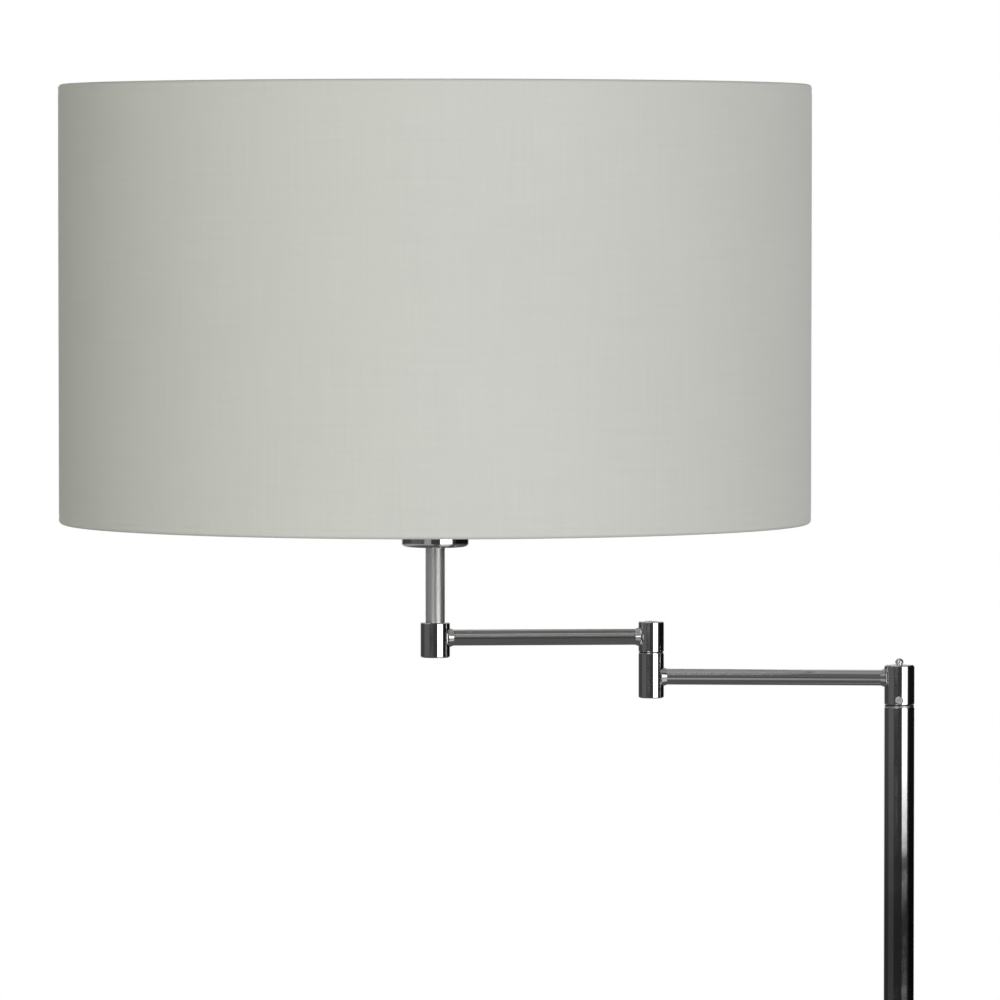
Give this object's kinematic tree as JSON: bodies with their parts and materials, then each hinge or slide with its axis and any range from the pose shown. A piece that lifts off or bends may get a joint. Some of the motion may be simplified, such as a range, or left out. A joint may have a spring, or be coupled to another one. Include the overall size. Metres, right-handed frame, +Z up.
{
  "type": "swing-arm floor lamp",
  "caption": "Chrome floor lamp on a weighted round base, with a double swing arm that carries a fabric drum shade.",
  "frame": {"origin": "on the floor, at the centre of the base's felt underside, under the pole's axis", "axes": "+Z up along the pole; the arms reach towards -X; the cord inlet faces +Y"},
  "size_m": [0.6445, 0.46, 1.5],
  "materials": {
    "chrome": "polished chrome plate",
    "turned_steel": "zinc-plated turned steel",
    "cast_iron": "rough casting, primed grey",
    "felt": "pressed black felt",
    "grommet_rubber": "moulded black rubber",
    "nylon": "natural nylon",
    "acetal": "black moulded acetal",
    "brass": "bare brass",
    "lead_sleeve": "grey heat-proof sleeve",
    "ceramic": "glazed ceramic",
    "bulb_metal": "rolled thin sheet",
    "bulb_insulator": "black vitreous insulator",
    "bulb_glass": "opal white glass",
    "white_wire": "white powder coat",
    "shade_liner": "white laminated sheet",
    "shade_fabric": "fine off-white linen weave",
    "knob": "moulded black, fluted"
  },
  "bodies": {
    "stand": {"base_pad": "felt", "base_plate": "turned_steel", "plate_screws": "turned_steel", "base_weight": "cast_iron", "base_cover": "chrome", "cord_grommet": "grommet_rubber", "terminal_block": "nylon", "terminal_screws": "brass", "foot_stud": "turned_steel", "foot_washer": "turned_steel", "foot_nut": "turned_steel", "foot_insert": "turned_steel", "foot_collar": "chrome", "pole_lower": "chrome", "pole_middle": "chrome", "pole_upper": "chrome", "pole_couplers": "turned_steel", "pole_spigot": "turned_steel", "hub_washer": "acetal", "pole_lead": "lead_sleeve"},
    "lower_arm": {"hub": "chrome", "hub_cap": "chrome", "hub_screw": "chrome", "lower_arm_tube": "chrome", "elbow_lower": "chrome", "elbow_plug": "chrome", "elbow_screw": "chrome", "elbow_washer": "acetal", "lower_arm_lead": "lead_sleeve"},
    "upper_arm": {"elbow_upper": "chrome", "elbow_cap": "chrome", "elbow_spigot": "turned_steel", "upper_arm_tube": "chrome", "end_barrel": "chrome", "end_plug": "chrome", "stem_tube": "chrome", "stem_nipple": "turned_steel", "upper_arm_lead": "lead_sleeve", "holder_nut": "turned_steel", "holder_cap": "chrome", "holder_body": "chrome", "holder_core": "ceramic", "holder_terminals": "brass", "screw_shell": "brass", "centre_contact": "brass", "switch_bush": "chrome", "ring_lower": "chrome", "ring_upper": "chrome", "bulb_cap": "bulb_metal", "bulb_contact": "bulb_metal", "bulb_insulator": "bulb_insulator", "bulb_glass": "bulb_glass", "spider": "white_wire", "shade_bottom_wire": "white_wire", "shade_top_wire": "white_wire", "shade_liner": "shade_liner", "shade_fabric": "shade_fabric"},
    "switch": {"switch_shaft": "brass", "switch_knob": "knob"}
  },
  "joints": [
    {"name": "hub_swivel", "type": "hinge", "parent": "stand", "child": "lower_arm", "pos_m": [0, 0, 1.132], "axis": [0, 0, 1], "range_deg": [-145, 145]},
    {"name": "elbow_swivel", "type": "hinge", "parent": "lower_arm", "child": "upper_arm", "pos_m": [-0.15193, 0.01062, 1.1475], "axis": [0, 0, 1], "range_deg": [-153.5, 136.4]},
    {"name": "switch_turn", "type": "hinge", "parent": "upper_arm", "child": "switch", "pos_m": [-0.2845, -0.0255, 1.2405], "axis": [0, -1, 0], "continuous": true}
  ]
}
